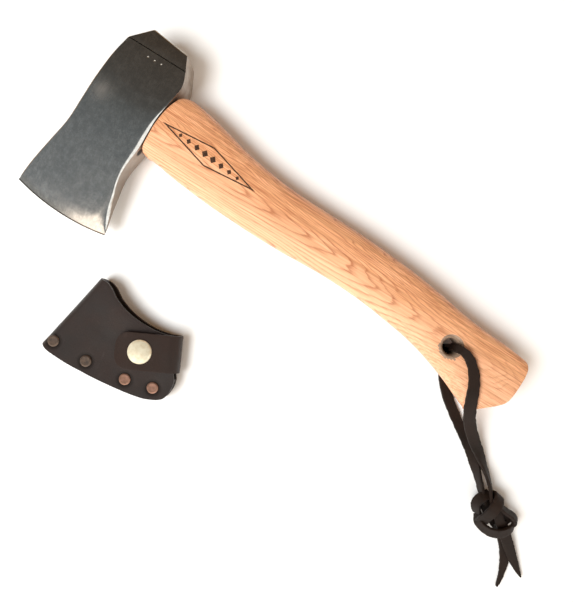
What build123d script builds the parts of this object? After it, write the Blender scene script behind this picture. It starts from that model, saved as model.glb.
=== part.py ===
from build123d import *
import os
from math import atan2, cos, hypot, radians, sin, tan

os.makedirs("parts", exist_ok=True)

# A carving hatchet lying on its side, with its leather blade cover beside it.  Millimetres.
# X runs from the eye to the butt, Y from the cutting edge to the poll, Z up.
# The origin is on the rest surface, below the middle of the eye.

CUT_MARGIN = 1.0                          # how far a cutter runs past the face that it opens
FAR = 200.0                               # reach of a cutter that has no end inside the object

# Head
HEAD_THICKNESS = 24.0                     # across the cheeks at the eye
MID_Z = HEAD_THICKNESS / 2                # height of the hatchet's middle plane
EDGE_RADIUS = 139.0                       # curve of the cutting edge
EDGE_CENTRE = (-2.0, 61.0)
POLL_LEFT = (-9.0, 45.5)
POLL_RIGHT = (15.5, 42.5)
POLL_LINE_Y = 33.5                        # where the poll's facets begin
TOP_SIDE = [(-20.0, 33.5), (-24.2, 5.0), (-25.4, -20.0), (-29.7, -42.0), (-38.0, -80.0)]
EYE_SIDE = [(22.8, 25.0), (19.9, 4.0), (19.2, -15.0), (17.4, -36.0), (20.8, -54.0), (27.4, -80.0)]
# Half of the blade's thickness against the distance in from the cutting edge.
BLADE_PROFILE = [(0.0, 0.15), (4.0, 2.1), (14.0, 4.4), (37.0, 6.4), (60.0, 10.8), (76.0, 12.0)]
LINE_WIDTH = 0.5                          # side of the square bar that cuts the poll's line
DIMPLES = [(-3.5, 29.2), (1.0, 29.3), (5.5, 29.5)]
DIMPLE_RADIUS = 0.9
DIMPLE_DEPTH = 0.25

# Eye and wedges
EYE_FOOT = (36.0, 17.0)                   # height and width of the eye at the handle side
EYE_TOP = (38.0, 19.0)                    # flared at the other side, for the wedges
EYE_REACH = 30.0                          # the eye's cutting solid reaches this far each way
EYE_SPAN_Y = 30.0                         # more than half the eye's height
EYE_SPAN_X = 40.0                         # past the top side of the head
WEDGE_THICK = 3.8
WEDGE_TIP = 1.0
WEDGE_DEPTH = 29.0
WEDGE_END_GAP = 3.0                       # wood left at each end of the wedge
STEEL_THICK = 3.0
STEEL_TIP = 0.6
STEEL_DEPTH = 20.0
STEEL_WIDTH = 11.0
WEDGE_START_X = -26.0

# Handle: distance along X, top edge Y, lower edge Y, thickness, corner radius.
SHOULDER_X = 20.6
TENON_OVERLAP = 8.0                       # the tenon runs this far into the grip
HANDLE_STATIONS = [
    (20.6, 22.4, -20.4, 22.0, 7.5),
    (31.0, 23.0, -21.0, 22.0, 8.5),
    (45.0, 21.4, -23.1, 21.6, 9.0),
    (66.0, 16.4, -25.0, 20.8, 9.2),
    (90.0, 11.9, -26.1, 20.0, 9.2),
    (125.0, 9.2, -26.3, 19.4, 9.0),
    (160.0, 9.0, -24.9, 19.0, 8.8),
    (190.0, 6.8, -26.8, 18.8, 8.6),
    (220.0, 3.6, -30.9, 18.8, 8.4),
    (248.0, -0.4, -39.4, 18.8, 8.0),
    (270.0, -1.8, -48.6, 18.8, 7.6),
    (289.0, -3.6, -56.0, 18.8, 7.4),
]
BUTT_CUT = [(289.4, -24.0), (288.0, -30.0), (286.2, -33.5), (283.2, -36.8), (271.0, -48.9), (262.0, -54.0)]
BUTT_BEYOND = [(262.0, -80.0), (320.0, -80.0), (320.0, -24.0)]
HOLE_AT = (240.9, -20.7)
HOLE_RADIUS = 5.0
HOLE_SINK = 1.7

# Lanyard: one flat leather thong, doubled through the hole and knotted.
THONG_WIDTH = 6.6
THONG_THICK = 2.0
THONG_LIFT = 22.4                         # underside of the thong where it lies on the handle
RIBBON_RISE = 40.0                        # taller than any height the upper strand reaches
BIGHT_AT = (242.8, -20.4)
BIGHT_WIDTH = 6.0                         # squeezed a little by the hole
ARC_SHARE = 0.45                          # of the shorter run beside a corner
UPPER_ROUTE = [(241.6, -19.8), (250.4, -20.4), (258.0, -25.5), (263.6, -33.0), (267.0, -41.5),
               (272.4, -49.6), (280.0, -56.4), (289.4, -63.2), (299.0, -70.0), (307.4, -77.2),
               (314.0, -84.0)]
UPPER_HEIGHTS = [(236.0, 22.4), (266.0, 22.4), (274.0, 21.0), (284.0, 13.0), (296.0, 7.0),
                 (304.0, 4.6), (322.0, 4.6)]
LOWER_ROUTE = [(243.2, -18.0), (246.6, -27.0), (251.4, -36.4), (258.2, -43.8), (266.0, -49.8),
               (274.6, -55.6), (283.6, -61.0), (292.4, -66.4), (300.6, -72.6), (307.8, -79.6),
               (312.6, -86.0)]
KNOT_OUTLINE = [(310.0, -85.0), (318.0, -82.0), (324.0, -87.5), (335.5, -89.0), (338.5, -97.0),
                (334.0, -104.5), (322.0, -105.5), (314.0, -103.5), (309.0, -96.0), (307.5, -90.5)]
KNOT_HEIGHT = 13.0
KNOT_ROUND = 3.0
TAIL_LONG = [(332.0, -100.0), (338.0, -103.4), (344.0, -108.6), (348.6, -115.8), (350.6, -124.4),
             (350.2, -132.4)]
TAIL_SHORT = [(333.0, -99.0), (339.0, -102.0), (345.8, -106.4), (353.0, -112.0), (361.4, -120.0)]
TAIL_WIDTH = 5.4
TAIL_GAP = 0.2                            # between one tail and the one that lies on it

# Blade cover
LEATHER = 2.5
POCKET = 5.0                              # free height between the two panels
COVER_TOP = 2 * LEATHER + POCKET
FOLD_TOP = (37.4, -98.8)
FOLD_FOOT = (27.0, -152.4)
MOUTH = [(37.4, -98.8), (44.4, -98.9), (52.0, -103.0), (61.0, -106.6), (74.0, -108.6),
         (90.0, -107.0), (98.6, -103.8)]
COVER_RIGHT = [(98.6, -103.8), (106.4, -124.4), (109.6, -129.0), (111.0, -137.0), (108.6, -143.6)]
COVER_FOOT = [(108.6, -143.6), (90.0, -150.4), (60.0, -154.2), (40.0, -154.8), (27.0, -152.4)]
FOLD_ROUND = 3.6
EDGE_MATCH = 0.1                          # how closely an edge's length tells it is the fold's
WELT_GAP = 0.1                            # between the welt and the inside of the fold
WELT_WIDTH = 13.0
RIVETS = [(33.4, -147.2), (57.0, -147.2), (83.4, -144.0), (100.8, -139.4)]
RIVET_HEAD_R = 3.65
RIVET_SHANK_R = 1.6
RIVET_SINK = 0.7                          # head pressed into the leather
RIVET_HEAD_H = 1.3
RIVET_BEVEL = 0.43
BURR_R = 4.0
BURR_H = 0.9

# Strap
STRAP_WIDTH = 23.0
STRAP_REACH = 40.0                        # from the outside of its fold to its free end
STRAP_CORNER = 8.5
STRAP_STEM = 10.0                         # length of strap that lies in the back panel
STRAP_GAP = 2.2                           # strap to panel, filled by the snap
STRAP_FOLD_AT = (104.9, -113.0)           # middle of the fold's outermost line
STRAP_OUT = 26.2                          # degrees, the way the fold faces
HINGE_CLEARANCE = 0.35
SNAP_REACH = 24.3                         # from the fold's outermost line to the snap

# Snap fastener
CAP_R = 7.5
CAP_H = 1.9
CAP_RIM = 0.7
POST_R = 1.5
SOCKET_R = 5.4
SOCKET_H = 1.9
KNOB_R = 2.0
KNOB_H = 1.5
STUD_BASE_R = 4.6
STUD_BASE_H = 0.2
SPRING_WIRE = 0.35
SPRING_R = 2.75
SPRING_SPLIT = 1.2
SPRING_PLAY = 0.1                         # round the spring, inside its socket
KNOB_PLAY = 0.2                           # above the stud's knob
EYELET_R = 4.8
EYELET_H = 0.5
FIT = 0.05                                # radial gap where metal passes through leather


def prism(points, low, high):
    """A closed outline of straight sides, standing from low to high."""
    face = make_face(Polyline(points, close=True))
    return Pos(0, 0, low) * extrude(face, high - low)


def disc(at, radius, low, high):
    """An upright cylinder from low to high."""
    return Pos(at[0], at[1], (low + high) / 2) * Cylinder(radius, high - low)


def hole_slug(at, radius):
    """An upright cutter, long enough for any panel."""
    return disc(at, radius, -CUT_MARGIN, HEAD_THICKNESS + CUT_MARGIN)


# ---------------------------------------------------------------- head
def head_outline():
    """The head seen from its cheek; the blade's end runs past the cutting edge."""
    top_side = Spline(TOP_SIDE)
    eye_side = Spline(EYE_SIDE)
    shoulder = (20.0, POLL_LINE_Y)
    rest = Polyline(TOP_SIDE[0], POLL_LEFT, POLL_RIGHT, shoulder, EYE_SIDE[0])
    end = Line(TOP_SIDE[-1], EYE_SIDE[-1])
    return make_face(Wire([*top_side.edges(), *rest.edges(), *eye_side.edges(), *end.edges()]))


def blade_envelope():
    """The wedge-shaped thickness of the head, turned about the cutting edge's centre."""
    upper = [(EDGE_RADIUS - s, MID_Z + half) for s, half in BLADE_PROFILE]
    lower = [(r, HEAD_THICKNESS - z) for r, z in reversed(upper)]
    top_curve = Spline(upper)
    low_curve = Spline(lower)
    tip = Line(upper[0], lower[-1])
    back = Polyline(upper[-1], (0, HEAD_THICKNESS), (0, 0), lower[0])
    wire = Wire([*top_curve.edges(), *back.edges(), *low_curve.edges(), *tip.edges()])
    section = Plane.XZ * make_face(wire)
    return Pos(EDGE_CENTRE[0], EDGE_CENTRE[1], 0) * revolve(section, Axis.Z)


def eye_slug():
    """The oval eye, flared towards the top of the head."""
    foot = Plane.YZ.offset(EYE_REACH) * Pos(0, MID_Z) * Ellipse(EYE_FOOT[0] / 2, EYE_FOOT[1] / 2)
    top = Plane.YZ.offset(-EYE_REACH) * Pos(0, MID_Z) * Ellipse(EYE_TOP[0] / 2, EYE_TOP[1] / 2)
    return loft([foot, top])


def head_block():
    return extrude(head_outline(), HEAD_THICKNESS) & blade_envelope()


def axe_head():
    block = head_block() - eye_slug()
    for z in (0.0, HEAD_THICKNESS):
        block -= Pos(0, POLL_LINE_Y, z) * Rot(45, 0, 0) * Box(FAR, LINE_WIDTH, LINE_WIDTH)
    for x, y in DIMPLES:
        centre_z = HEAD_THICKNESS + DIMPLE_RADIUS - DIMPLE_DEPTH
        block -= Pos(x, y, centre_z) * Sphere(DIMPLE_RADIUS)
    return block


# ---------------------------------------------------------------- handle and wedges
def wood_wedge_slug():
    """Tapers in thickness, and spans the eye from end to end."""
    tip_x = WEDGE_START_X + WEDGE_DEPTH
    outline = [(WEDGE_START_X, -WEDGE_THICK / 2), (WEDGE_START_X, WEDGE_THICK / 2),
               (tip_x, WEDGE_TIP / 2), (tip_x, -WEDGE_TIP / 2)]
    face = Plane.XZ * make_face(Polyline(outline, close=True))
    return Pos(0, 0, MID_Z) * extrude(face, EYE_FOOT[0] / 2 - WEDGE_END_GAP, both=True)


def steel_wedge_slug():
    """A short steel wedge, driven across the wooden one."""
    tip_x = WEDGE_START_X + STEEL_DEPTH
    outline = [(WEDGE_START_X, -STEEL_THICK / 2), (WEDGE_START_X, STEEL_THICK / 2),
               (tip_x, STEEL_TIP / 2), (tip_x, -STEEL_TIP / 2)]
    return prism(outline, MID_Z - STEEL_WIDTH / 2, MID_Z + STEEL_WIDTH / 2)


def across_eye(start_x):
    """A block over the eye's full height, from start_x into the grip."""
    end_x = SHOULDER_X + TENON_OVERLAP
    corners = [(start_x, -EYE_SPAN_Y), (end_x, -EYE_SPAN_Y), (end_x, EYE_SPAN_Y), (start_x, EYE_SPAN_Y)]
    return prism(corners, 0, HEAD_THICKNESS)


def tenon():
    """The part of the handle inside the eye, flush with the top of the head."""
    flush = extrude(head_outline(), HEAD_THICKNESS) + across_eye(0)
    return eye_slug() & across_eye(-EYE_SPAN_X) & flush


def grip():
    """Everything outside the eye: rounded sections along X, cut to the butt's shape."""
    sections = []
    for x, top, low, thickness, corner in HANDLE_STATIONS:
        at = Plane.YZ.offset(x) * Pos((top + low) / 2, MID_Z)
        sections.append(at * RectangleRounded(top - low, thickness, corner))
    return loft(sections) - prism([*BUTT_CUT, *BUTT_BEYOND], 0, HEAD_THICKNESS)


def lanyard_hole():
    """Through hole with a countersink at each face of the handle."""
    thickness = HANDLE_STATIONS[-1][3]
    slug = hole_slug(HOLE_AT, HOLE_RADIUS)
    for side in (1, -1):
        mouth_z = MID_Z + side * thickness / 2
        sink = Cone(HOLE_RADIUS, HOLE_RADIUS + HOLE_SINK, HOLE_SINK)
        turn = Rot(0 if side > 0 else 180, 0, 0)
        slug += Pos(HOLE_AT[0], HOLE_AT[1], mouth_z - side * HOLE_SINK / 2) * turn * sink
    return slug


def handle():
    body = grip() - lanyard_hole() - head_block()
    return body + tenon() - wood_wedge_slug() - steel_wedge_slug()


def wood_wedge():
    return (wood_wedge_slug() & tenon()) - steel_wedge_slug()


def steel_wedge():
    return steel_wedge_slug() & tenon()


# ---------------------------------------------------------------- lanyard
def bend_radii(points):
    """One radius for each corner, as large as the two runs beside it allow."""
    radii = []
    for before, here, after in zip(points, points[1:], points[2:]):
        arrive = atan2(here[1] - before[1], here[0] - before[0])
        leave = atan2(after[1] - here[1], after[0] - here[0])
        turn = abs((leave - arrive + radians(180)) % radians(360) - radians(180))
        shorter = min(hypot(here[0] - before[0], here[1] - before[1]),
                      hypot(after[0] - here[0], after[1] - here[1]))
        radii.append(ARC_SHARE * shorter / tan(turn / 2))
    return radii


def ribbon(name, points, width, low, high):
    """A flat thong of straight runs and tangent arcs, standing from low to high."""
    radii = bend_radii(points)
    path = FilletPolyline(*points, radius=radii)
    face = trace(path, width)
    print(name, "length", round(path.length, 1), "radii", [round(r, 1) for r in radii])
    return Pos(0, 0, low) * extrude(face, high - low)


def height_band(heights, thickness):
    """A level band whose underside follows heights along X."""
    under = list(heights)
    over = [(x, z + thickness) for x, z in reversed(heights)]
    face = Plane.XZ * make_face(Polyline([*under, *over], close=True))
    return extrude(face, FAR, both=True)


def lanyard_upper():
    tall = ribbon("lanyard_upper", UPPER_ROUTE, THONG_WIDTH, 0, RIBBON_RISE)
    return (tall & height_band(UPPER_HEIGHTS, THONG_THICK)) - lanyard_knot()


def lanyard_lower():
    return ribbon("lanyard_lower", LOWER_ROUTE, THONG_WIDTH, 0, THONG_THICK) - lanyard_knot()


def lanyard_bight():
    """The upright stretch of thong inside the hole, between its two flat ends."""
    strip = Box(THONG_THICK, BIGHT_WIDTH, THONG_LIFT - THONG_THICK)
    return Pos(*BIGHT_AT, (THONG_LIFT + THONG_THICK) / 2) * strip


def lanyard_knot():
    block = prism(KNOT_OUTLINE, 0, KNOT_HEIGHT)
    rims = block.edges().filter_by(Plane.XY)
    return chamfer(rims, KNOT_ROUND)


def lanyard_tail_long():
    return ribbon("lanyard_tail_long", TAIL_LONG, TAIL_WIDTH, 0, THONG_THICK) - lanyard_knot()


def lanyard_tail_short():
    low = THONG_THICK + TAIL_GAP
    return ribbon("lanyard_tail_short", TAIL_SHORT, TAIL_WIDTH, low, low + THONG_THICK) - lanyard_knot()


# ---------------------------------------------------------------- blade cover
def cover_outline():
    """Both panels are cut together, so one outline serves for both."""
    mouth = Spline(MOUTH)
    right = Polyline(COVER_RIGHT)
    foot = Spline(COVER_FOOT)
    fold = Line(FOLD_FOOT, FOLD_TOP)
    return make_face(Wire([*mouth.edges(), *right.edges(), *foot.edges(), *fold.edges()]))


def fold_offset(distance):
    """The region to the right of a line a given distance in from the fold."""
    along = Vector(FOLD_FOOT[0] - FOLD_TOP[0], FOLD_FOOT[1] - FOLD_TOP[1]).normalized()
    inward = Vector(-along.Y, along.X)
    start = Vector(*FOLD_TOP) + inward * distance - along * FAR
    end = Vector(*FOLD_TOP) + inward * distance + along * FAR
    corners = [start, end, end + inward * FAR, start + inward * FAR]
    return [(v.X, v.Y) for v in corners]


def strap_frame():
    """Origin under the fold's outermost line, x outwards, y up, z along the fold."""
    out = radians(STRAP_OUT)
    outward = (cos(out), sin(out), 0)
    along = (sin(out), -cos(out), 0)
    return Plane(origin=(*STRAP_FOLD_AT, 0), x_dir=outward, z_dir=along)


STRAP_LOW = COVER_TOP + STRAP_GAP
STRAP_TOP = STRAP_LOW + LEATHER
FOLD_R = STRAP_TOP / 2
HINGE_IN = FOLD_R + LEATHER / 2 + HINGE_CLEARANCE     # hinge line, in from the outermost line
HINGE_Z = STRAP_LOW + LEATHER / 2


def strap_root():
    """The back panel's strap, turned up round the side of the cover to the hinge line."""
    ring = Pos(-FOLD_R, FOLD_R) * (Circle(FOLD_R) - Circle(FOLD_R - LEATHER))
    right_half = Pos(-FOLD_R / 2, FOLD_R) * Rectangle(FOLD_R, STRAP_TOP)
    stem = Pos(-FOLD_R - STRAP_STEM / 2, LEATHER / 2) * Rectangle(STRAP_STEM, LEATHER)
    profile = (ring & right_half) + stem
    return extrude(strap_frame() * profile, STRAP_WIDTH / 2, both=True)


def cover_body():
    """Front panel, fold and back panel are one piece of leather, with the strap's root."""
    block = extrude(cover_outline(), COVER_TOP)
    block = fillet(fold_edges(block), FOLD_ROUND)
    pocket = prism(fold_offset(LEATHER), LEATHER, LEATHER + POCKET)
    body = block - pocket + strap_root()
    for at in RIVETS:
        body -= hole_slug(at, RIVET_SHANK_R + FIT)
        body -= disc(at, RIVET_HEAD_R + FIT, COVER_TOP - RIVET_SINK, COVER_TOP + CUT_MARGIN)
        body -= disc(at, BURR_R + FIT, -CUT_MARGIN, BURR_H)
    return body - disc(snap_at(), POST_R + FIT, LEATHER + POCKET - CUT_MARGIN, COVER_TOP + CUT_MARGIN)


def fold_edges(block):
    """The two long edges of the folded side."""
    chord = Vector(FOLD_FOOT[0] - FOLD_TOP[0], FOLD_FOOT[1] - FOLD_TOP[1])
    centre = (Vector(*FOLD_TOP) + Vector(*FOLD_FOOT)) / 2
    found = []
    for edge in block.edges():
        middle = edge @ 0.5
        apart = hypot(middle.X - centre.X, middle.Y - centre.Y)
        if abs(edge.length - chord.length) < EDGE_MATCH and apart < LEATHER:
            found.append(edge)
    return found


def welt():
    """The spacer between the panels that keeps the cutting edge off the rivets."""
    whole = Pos(0, 0, LEATHER) * extrude(cover_outline(), POCKET)
    inner = Pos(0, WELT_WIDTH, 0) * whole
    right_of_fold = prism(fold_offset(LEATHER + WELT_GAP), 0, COVER_TOP)
    piece = ((whole & right_of_fold) - inner).solids().sort_by(SortBy.VOLUME)[-1]
    for at in RIVETS:
        piece -= hole_slug(at, RIVET_SHANK_R + FIT)
    return piece


def rivet(at):
    """Domed head on a solid shank, peened over its burr."""
    head_low = COVER_TOP - RIVET_SINK
    head = disc(at, RIVET_HEAD_R, head_low, head_low + RIVET_HEAD_H)
    head = chamfer(head.faces().sort_by(Axis.Z)[-1].edges(), RIVET_BEVEL)
    return head + disc(at, RIVET_SHANK_R, 0, head_low)


def burr(at):
    return disc(at, BURR_R, 0, BURR_H) - hole_slug(at, RIVET_SHANK_R + FIT)


def strap():
    """The flap beyond the hinge line, rounded at its free end."""
    flat_length = STRAP_REACH - HINGE_IN
    middle = -HINGE_IN - flat_length / 2
    slab = extrude(strap_frame() * (Pos(middle, HINGE_Z) * Rectangle(flat_length, LEATHER)),
                   STRAP_WIDTH / 2, both=True)
    corners = [edge for edge in slab.edges().filter_by(Axis.Z) if far_from_fold(edge)]
    slab = fillet(corners, STRAP_CORNER)
    knuckle = extrude(strap_frame() * (Pos(-HINGE_IN, HINGE_Z) * Circle(LEATHER / 2)),
                      STRAP_WIDTH / 2, both=True)
    return slab + knuckle - disc(snap_at(), POST_R + FIT, STRAP_LOW - CUT_MARGIN, STRAP_TOP + CUT_MARGIN)


def far_from_fold(edge):
    """True for an edge at the strap's free end."""
    middle = edge @ 0.5
    return hypot(middle.X - STRAP_FOLD_AT[0], middle.Y - STRAP_FOLD_AT[1]) > SNAP_REACH


# ---------------------------------------------------------------- snap fastener
def snap_at():
    """The snap's upright axis."""
    out = radians(STRAP_OUT)
    return (STRAP_FOLD_AT[0] - SNAP_REACH * cos(out), STRAP_FOLD_AT[1] - SNAP_REACH * sin(out))


def snap_cap():
    """Shallow dome with a rim, and the tube that holds the socket."""
    dome = disc(snap_at(), CAP_R, STRAP_TOP, STRAP_TOP + CAP_H)
    dome = fillet(dome.faces().sort_by(Axis.Z)[-1].edges(), CAP_H - CAP_RIM)
    return dome + disc(snap_at(), POST_R, STRAP_LOW, STRAP_TOP)


def snap_socket():
    low = STRAP_LOW - SOCKET_H
    cup = disc(snap_at(), SOCKET_R, low, STRAP_LOW)
    bore = SPRING_R + SPRING_WIRE + SPRING_PLAY
    return cup - disc(snap_at(), bore, low - CUT_MARGIN, low + KNOB_H + KNOB_PLAY)


def snap_spring():
    """Split ring inside the socket, that grips the stud."""
    ring = Torus(SPRING_R, SPRING_WIRE) - Pos(SPRING_R, 0, 0) * Box(SPRING_R, SPRING_SPLIT, SPRING_R)
    return Pos(*snap_at(), COVER_TOP + STUD_BASE_H + KNOB_H / 2) * ring


def snap_stud():
    knob_low = COVER_TOP + STUD_BASE_H
    base = disc(snap_at(), STUD_BASE_R, COVER_TOP, knob_low)
    return base + disc(snap_at(), KNOB_R, knob_low, knob_low + KNOB_H)


def snap_eyelet():
    """Rivet from inside the pocket that holds the stud."""
    low = LEATHER + POCKET - EYELET_H
    return disc(snap_at(), EYELET_R, low, low + EYELET_H) + disc(
        snap_at(), POST_R, low + EYELET_H, COVER_TOP)


NODES = {
    "axe_head": axe_head,
    "handle": handle,
    "wood_wedge": wood_wedge,
    "steel_wedge": steel_wedge,
    "lanyard_bight": lanyard_bight,
    "lanyard_upper": lanyard_upper,
    "lanyard_lower": lanyard_lower,
    "lanyard_knot": lanyard_knot,
    "lanyard_tail_long": lanyard_tail_long,
    "lanyard_tail_short": lanyard_tail_short,
    "cover_body": cover_body,
    "welt": welt,
    "strap": strap,
    "snap_cap": snap_cap,
    "snap_socket": snap_socket,
    "snap_spring": snap_spring,
    "snap_stud": snap_stud,
    "snap_eyelet": snap_eyelet,
}

for node, make in NODES.items():
    export_step(make(), f"parts/{node}.step")
for number, at in enumerate(RIVETS, start=1):
    export_step(rivet(at), f"parts/rivet_{number}.step")
    export_step(burr(at), f"parts/burr_{number}.step")
print("hinge axis through", strap_frame().from_local_coords(Vector(-HINGE_IN, HINGE_Z, 0)))
print("snap axis at", snap_at())
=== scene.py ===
import math

import bmesh
import bpy
import numpy as np
from mathutils import Matrix, Vector, noise


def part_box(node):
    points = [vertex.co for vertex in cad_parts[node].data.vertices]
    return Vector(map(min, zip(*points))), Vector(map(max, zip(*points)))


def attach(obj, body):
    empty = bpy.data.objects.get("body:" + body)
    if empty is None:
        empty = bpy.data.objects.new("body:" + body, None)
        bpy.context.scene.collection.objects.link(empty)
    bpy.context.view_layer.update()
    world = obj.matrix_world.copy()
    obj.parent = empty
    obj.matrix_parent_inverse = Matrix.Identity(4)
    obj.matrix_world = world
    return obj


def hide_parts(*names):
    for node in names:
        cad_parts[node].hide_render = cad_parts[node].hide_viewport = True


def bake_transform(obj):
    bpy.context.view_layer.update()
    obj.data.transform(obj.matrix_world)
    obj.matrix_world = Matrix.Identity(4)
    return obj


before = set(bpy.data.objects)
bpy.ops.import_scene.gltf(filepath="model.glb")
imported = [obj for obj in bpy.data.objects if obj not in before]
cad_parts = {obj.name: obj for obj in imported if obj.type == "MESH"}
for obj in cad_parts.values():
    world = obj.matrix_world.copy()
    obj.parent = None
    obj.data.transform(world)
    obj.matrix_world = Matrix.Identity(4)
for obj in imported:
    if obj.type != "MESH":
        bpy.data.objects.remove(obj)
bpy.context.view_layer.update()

# Lengths in this script are millimetres in the CAD frame; MM turns them into metres.
MM = 0.001
SAME_POINT = 0.0001  # points closer than this are one
ON_AXIS = 0.002  # radius that stands for a point on a turned piece's axis


# ---- mesh helpers
def smooth_through(points):
    """A smooth function y(x) through the points, whose x values increase."""
    xs, ys = np.array(points, float).T
    slopes = np.gradient(ys, xs)

    def at(x):
        x = np.clip(x, xs[0], xs[-1])
        i = np.clip(np.searchsorted(xs, x) - 1, 0, len(xs) - 2)
        h = xs[i + 1] - xs[i]
        t = (x - xs[i]) / h
        rise = t * t * (3 - 2 * t)
        bend = h * t * (1 - t) * ((1 - t) * slopes[i] - t * slopes[i + 1])
        return ys[i] + rise * (ys[i + 1] - ys[i]) + bend
    return at


def ease(low, high, value):
    """0 below low, 1 above high, smooth between."""
    t = np.clip((value - low) / (high - low), 0, 1)
    return t * t * (3 - 2 * t)


def make_object(name, points, faces, body=None, slot_name=None, material=None):
    """A smooth mesh from points in millimetres: a piece that rides on a CAD body, or a bare cutter."""
    mesh = bpy.data.meshes.new(name)
    mesh.from_pydata([tuple(p) for p in np.asarray(points, float) * MM], [], faces)
    mesh.polygons.foreach_set("use_smooth", [True] * len(mesh.polygons))
    obj = bpy.data.objects.new(name, mesh)
    bpy.context.scene.collection.objects.link(obj)
    if body:
        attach(obj, body)
    if material:
        mesh.materials.append(material)
    fix_normals(obj)
    return obj


def fix_normals(obj):
    """Joins points that coincide and turns every face outward."""
    bm = bmesh.new()
    bm.from_mesh(obj.data)
    bmesh.ops.remove_doubles(bm, verts=bm.verts, dist=SAME_POINT * MM)
    bmesh.ops.recalc_face_normals(bm, faces=bm.faces)
    bm.to_mesh(obj.data)
    bm.free()


def tube_faces(rows, width):
    """Quads over closed rings, with one face over each end."""
    faces = []
    for r in range(rows - 1):
        for c in range(width):
            d = (c + 1) % width
            faces.append((r * width + c, r * width + d, (r + 1) * width + d, (r + 1) * width + c))
    return faces + [tuple(range(width - 1, -1, -1)), tuple(range((rows - 1) * width, rows * width))]


def slab(grid, thickness):
    """Points and faces of a sheet of even thickness whose middle surface is the grid."""
    grid = np.asarray(grid, float)
    along = np.gradient(grid, axis=0)
    across = np.gradient(grid, axis=1)
    normal = np.cross(along, across)
    normal /= np.linalg.norm(normal, axis=2, keepdims=True) + 1e-12
    rows, cols = grid.shape[:2]
    points = np.concatenate([(grid + normal * thickness / 2).reshape(-1, 3),
                             (grid - normal * thickness / 2).reshape(-1, 3)])
    back = rows * cols
    faces = []
    for r in range(rows - 1):
        for c in range(cols - 1):
            a, b, d, e = r * cols + c, r * cols + c + 1, (r + 1) * cols + c + 1, (r + 1) * cols + c
            faces.append((a, b, d, e))
            faces.append((back + e, back + d, back + b, back + a))
    rim = ([(0, c) for c in range(cols - 1)] + [(r, cols - 1) for r in range(rows - 1)]
           + [(rows - 1, c) for c in range(cols - 1, 0, -1)] + [(r, 0) for r in range(rows - 1, 0, -1)])
    loop = [r * cols + c for r, c in rim]
    for i, a in enumerate(loop):
        b = loop[(i + 1) % len(loop)]
        faces.append((b, a, back + a, back + b))
    return points, faces


def round_edges(obj, width):
    """Rounds the edges of a leather piece, in its mesh."""
    modifier = obj.modifiers.new("soft_edges", "BEVEL")
    modifier.width = width * MM
    modifier.segments = 3
    modifier.limit_method = "ANGLE"
    modifier.angle_limit = math.radians(50)
    apply_modifiers(obj)


def apply_modifiers(obj):
    bpy.context.view_layer.update()
    evaluated = obj.evaluated_get(bpy.context.evaluated_depsgraph_get())
    mesh = bpy.data.meshes.new_from_object(evaluated)
    obj.modifiers.clear()
    obj.data = mesh


def cut(obj, cutters):
    """Takes the cutters' shapes out of a piece."""
    for cutter in cutters:
        modifier = obj.modifiers.new("cut", "BOOLEAN")
        modifier.operation = "DIFFERENCE"
        modifier.solver = "EXACT"
        modifier.object = cutter
    apply_modifiers(obj)
    for cutter in cutters:
        bpy.data.objects.remove(cutter)


def lathe(name, profile, centre, steps, *wearing):
    """A turned piece about an upright axis; profile is (radius, z) from the axis out and back,
    and wearing is its body, slot (not used) and material."""
    turn = np.arange(steps) * 2 * math.pi / steps
    rings = [np.column_stack([centre[0] + max(radius, ON_AXIS) * np.cos(turn),
                              centre[1] + max(radius, ON_AXIS) * np.sin(turn), np.full(steps, z)])
             for radius, z in profile]
    return make_object(name, np.concatenate(rings), tube_faces(len(rings), steps), *wearing)


def shade_by_angle(obj, degrees):
    """Sharp edges above the angle, smooth shading elsewhere."""
    obj.data.polygons.foreach_set("use_smooth", [True] * len(obj.data.polygons))
    obj.data.set_sharp_from_angle(angle=math.radians(degrees))


def cad_centre(node):
    """Middle of a CAD node's box, in millimetres."""
    low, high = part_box(node)
    return (low + high) / 2 / MM


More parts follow.
